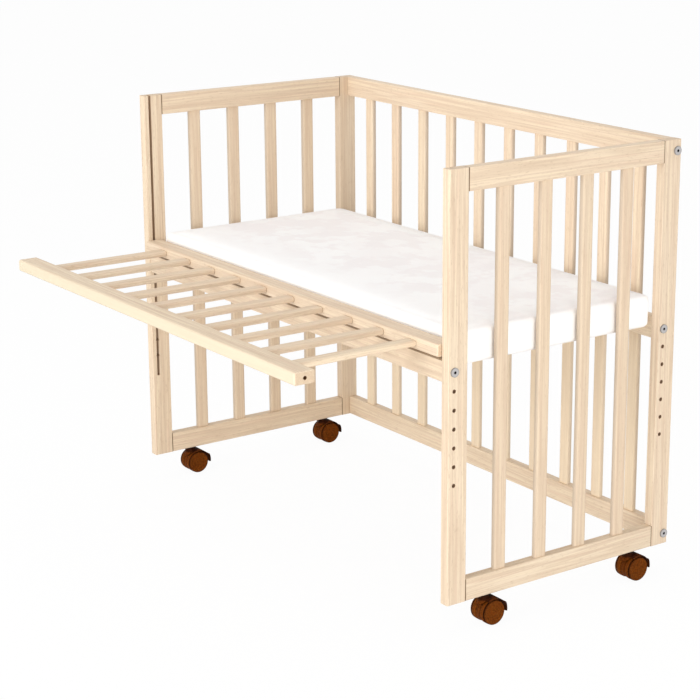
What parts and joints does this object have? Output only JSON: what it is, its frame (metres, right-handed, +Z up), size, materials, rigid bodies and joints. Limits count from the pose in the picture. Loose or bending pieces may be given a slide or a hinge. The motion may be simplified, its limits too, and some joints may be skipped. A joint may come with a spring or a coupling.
{
  "type": "bedside crib",
  "caption": "Slatted wooden bedside crib on braked twin-wheel casters, with a flat mattress on a height-adjustable base and a side that folds out level.",
  "frame": {"origin": "on the floor, in the middle of the outline with the gate folded out level", "axes": "+Z up, -Y towards the open side and the folded-out gate, X along the crib"},
  "size_m": [0.9656, 0.745, 0.751],
  "materials": {
    "timber": "planed, clear matt lacquer",
    "steel": "zinc plated",
    "caster_plastic": "dark brown, finely grained",
    "mattress_cover": "white woven cover over foam"
  },
  "bodies": {
    "frame": {"post_front_left": "timber", "post_front_right": "timber", "post_rear_left": "timber", "post_rear_right": "timber", "rail_left_top": "timber", "rail_left_bottom": "timber", "rail_right_top": "timber", "rail_right_bottom": "timber", "slat_left_1": "timber", "slat_left_2": "timber", "slat_left_3": "timber", "slat_left_4": "timber", "slat_right_1": "timber", "slat_right_2": "timber", "slat_right_3": "timber", "slat_right_4": "timber", "back_rail_top": "timber", "back_rail_bottom": "timber", "back_slat_1": "timber", "back_slat_2": "timber", "back_slat_3": "timber", "back_slat_4": "timber", "back_slat_5": "timber", "back_slat_6": "timber", "back_slat_7": "timber", "back_slat_8": "timber", "back_slat_9": "timber", "back_slat_10": "timber", "base_rail_front": "timber", "base_rail_rear": "timber", "base_slats": "timber", "frame_bolts": "steel", "threaded_inserts": "steel", "caster_stems": "steel"},
    "gate_carrier": {"gate_pins": "steel"},
    "gate": {"gate_hinge_rail": "timber", "gate_outer_rail": "timber", "gate_bar_1": "timber", "gate_bar_2": "timber", "gate_bar_3": "timber", "gate_bar_4": "timber", "gate_bar_5": "timber", "gate_bar_6": "timber", "gate_bar_7": "timber", "gate_bar_8": "timber", "gate_bar_9": "timber", "gate_bar_10": "timber"},
    "mattress": {"mattress": "mattress_cover"},
    "caster_front_left": {"caster_front_left_housing": "caster_plastic"},
    "caster_front_left_wheelset": {"caster_front_left_wheels": "caster_plastic"},
    "caster_front_left_lever": {"caster_front_left_brake": "caster_plastic"},
    "caster_front_right": {"caster_front_right_housing": "caster_plastic"},
    "caster_front_right_wheelset": {"caster_front_right_wheels": "caster_plastic"},
    "caster_front_right_lever": {"caster_front_right_brake": "caster_plastic"},
    "caster_rear_left": {"caster_rear_left_housing": "caster_plastic"},
    "caster_rear_left_wheelset": {"caster_rear_left_wheels": "caster_plastic"},
    "caster_rear_left_lever": {"caster_rear_left_brake": "caster_plastic"},
    "caster_rear_right": {"caster_rear_right_housing": "caster_plastic"},
    "caster_rear_right_wheelset": {"caster_rear_right_wheels": "caster_plastic"},
    "caster_rear_right_lever": {"caster_rear_right_brake": "caster_plastic"}
  },
  "joints": [
    {"name": "gate_rise", "type": "slide", "parent": "frame", "child": "gate_carrier", "axis": [0, 0, 1], "range_m": [0, 0.008]},
    {"name": "gate_fold", "type": "hinge", "parent": "gate_carrier", "child": "gate", "pos_m": [0, -0.0925, 0.4675], "axis": [-1, 0, 0], "range_deg": [0, 90]},
    {"name": "mattress_lift", "type": "slide", "parent": "frame", "child": "mattress", "axis": [0, 0, 1], "range_m": [0, 0.35]},
    {"name": "caster_front_left_swivel", "type": "hinge", "parent": "frame", "child": "caster_front_left", "pos_m": [-0.464, -0.0225, 0.045], "axis": [0, 0, 1], "continuous": true},
    {"name": "caster_front_left_roll", "type": "hinge", "parent": "caster_front_left", "child": "caster_front_left_wheelset", "pos_m": [-0.464, -0.0142, 0.021], "axis": [1, 0, 0], "continuous": true},
    {"name": "caster_front_left_brake_lever", "type": "hinge", "parent": "caster_front_left", "child": "caster_front_left_lever", "pos_m": [-0.464, -0.0019, 0.0296], "axis": [1, 0, 0], "range_deg": [0, 18]},
    {"name": "caster_front_right_swivel", "type": "hinge", "parent": "frame", "child": "caster_front_right", "pos_m": [0.464, -0.0225, 0.045], "axis": [0, 0, 1], "continuous": true},
    {"name": "caster_front_right_roll", "type": "hinge", "parent": "caster_front_right", "child": "caster_front_right_wheelset", "pos_m": [0.464, -0.0142, 0.021], "axis": [1, 0, 0], "continuous": true},
    {"name": "caster_front_right_brake_lever", "type": "hinge", "parent": "caster_front_right", "child": "caster_front_right_lever", "pos_m": [0.464, -0.0019, 0.0296], "axis": [1, 0, 0], "range_deg": [0, 18]},
    {"name": "caster_rear_left_swivel", "type": "hinge", "parent": "frame", "child": "caster_rear_left", "pos_m": [-0.464, 0.2915, 0.045], "axis": [0, 0, 1], "continuous": true},
    {"name": "caster_rear_left_roll", "type": "hinge", "parent": "caster_rear_left", "child": "caster_rear_left_wheelset", "pos_m": [-0.464, 0.2998, 0.021], "axis": [1, 0, 0], "continuous": true},
    {"name": "caster_rear_left_brake_lever", "type": "hinge", "parent": "caster_rear_left", "child": "caster_rear_left_lever", "pos_m": [-0.464, 0.3121, 0.0296], "axis": [1, 0, 0], "range_deg": [0, 18]},
    {"name": "caster_rear_right_swivel", "type": "hinge", "parent": "frame", "child": "caster_rear_right", "pos_m": [0.464, 0.2915, 0.045], "axis": [0, 0, 1], "continuous": true},
    {"name": "caster_rear_right_roll", "type": "hinge", "parent": "caster_rear_right", "child": "caster_rear_right_wheelset", "pos_m": [0.464, 0.2998, 0.021], "axis": [1, 0, 0], "continuous": true},
    {"name": "caster_rear_right_brake_lever", "type": "hinge", "parent": "caster_rear_right", "child": "caster_rear_right_lever", "pos_m": [0.464, 0.3121, 0.0296], "axis": [1, 0, 0], "range_deg": [0, 18]}
  ],
  "couplings": [
    {"joint": "gate_rise", "follows": "gate_fold", "m_per_rad": 0.005093}
  ]
}
